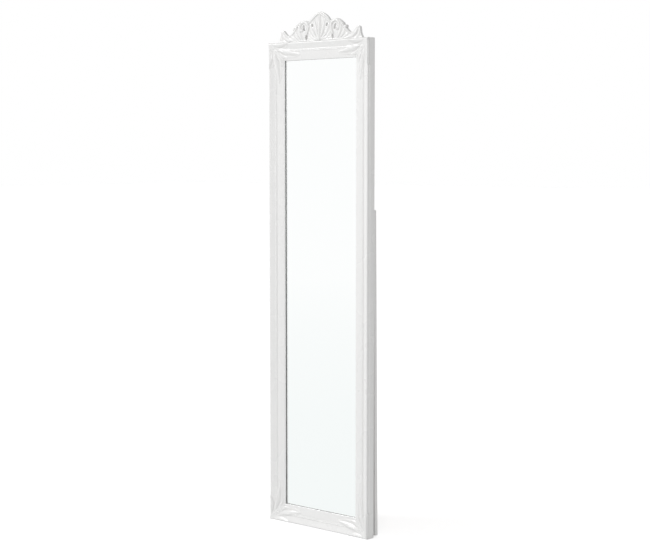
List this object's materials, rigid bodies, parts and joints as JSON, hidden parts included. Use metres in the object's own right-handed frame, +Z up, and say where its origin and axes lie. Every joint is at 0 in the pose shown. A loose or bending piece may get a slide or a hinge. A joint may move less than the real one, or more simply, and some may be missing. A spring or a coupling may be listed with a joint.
{
  "type": "floor mirror",
  "caption": "Tall free-standing mirror in a white carved frame with a pierced crest, with a hinged easel stand and folding support arms behind it.",
  "frame": {"origin": "on the floor, in the middle of the flat underside of the frame", "axes": "+Z up, +X to the right of someone looking into the mirror, -Y towards them"},
  "size_m": [0.4, 0.0632, 1.6],
  "materials": {
    "white_lacquer": "satin white lacquer on wood moulding",
    "white_carving": "satin white lacquer on carved ornament",
    "white_stand": "satin white lacquer on flat timber",
    "mirror_glass": "clear silvered glass",
    "hardboard": "bare pressed hardboard",
    "beech": "bare turned beech",
    "zinc_steel": "bright zinc-plated steel",
    "black_rubber": "matt black rubber",
    "glide_plastic": "smooth white nylon"
  },
  "bodies": {
    "frame": {"left_stile": "white_lacquer", "right_stile": "white_lacquer", "top_rail": "white_lacquer", "bottom_rail": "white_lacquer", "corner_leaf_bottom_left": "white_carving", "corner_plate_bottom_left": "zinc_steel", "corner_leaf_top_left": "white_carving", "corner_plate_top_left": "zinc_steel", "corner_leaf_top_right": "white_carving", "corner_plate_top_right": "zinc_steel", "corner_leaf_bottom_right": "white_carving", "corner_plate_bottom_right": "zinc_steel", "crest": "white_carving", "mirror_glass": "mirror_glass", "backing_board": "hardboard", "backing_tabs": "zinc_steel", "corner_plate_screws": "zinc_steel", "mitre_wedges": "zinc_steel", "frame_hinge_screws": "zinc_steel", "bracket_screws": "zinc_steel", "crest_dowels": "beech", "frame_hinge_leaf_left": "zinc_steel", "hinge_pin_left": "zinc_steel", "arm_bracket_left": "zinc_steel", "arm_rivet_left": "zinc_steel", "frame_hinge_leaf_right": "zinc_steel", "hinge_pin_right": "zinc_steel", "arm_bracket_right": "zinc_steel", "arm_rivet_right": "zinc_steel"},
    "stand": {"stand_leg_left": "white_stand", "stand_hinge_leaf_left": "zinc_steel", "slide_plate_left": "zinc_steel", "bumper_left": "black_rubber", "foot_glide_left": "glide_plastic", "stand_leg_right": "white_stand", "stand_hinge_leaf_right": "zinc_steel", "slide_plate_right": "zinc_steel", "bumper_right": "black_rubber", "foot_glide_right": "glide_plastic", "stand_top_rail": "white_stand", "stand_lower_rail": "white_stand", "stand_dowels": "beech", "stand_hinge_screws": "zinc_steel", "slide_plate_screws": "zinc_steel", "bumper_screws": "zinc_steel"},
    "arm_left": {"support_arm_left": "zinc_steel", "slide_pin_left": "zinc_steel"},
    "arm_right": {"support_arm_right": "zinc_steel", "slide_pin_right": "zinc_steel"}
  },
  "joints": [
    {"name": "stand_hinge", "type": "hinge", "parent": "frame", "child": "stand", "pos_m": [0, 0.0099, 1.003], "axis": [1, 0, 0], "range_deg": [0, 14.34]},
    {"name": "arm_left_pivot", "type": "hinge", "parent": "frame", "child": "arm_left", "pos_m": [-0.1611, 0.0179, 0.518], "axis": [1, 0, 0], "range_deg": [0, 36.3]},
    {"name": "arm_right_pivot", "type": "hinge", "parent": "frame", "child": "arm_right", "pos_m": [0.1611, 0.0179, 0.518], "axis": [1, 0, 0], "range_deg": [0, 36.3]}
  ],
  "couplings": [
    {"joint": "arm_left_pivot", "follows": "stand_hinge", "ratio": 2.5293},
    {"joint": "arm_right_pivot", "follows": "stand_hinge", "ratio": 2.5293}
  ]
}
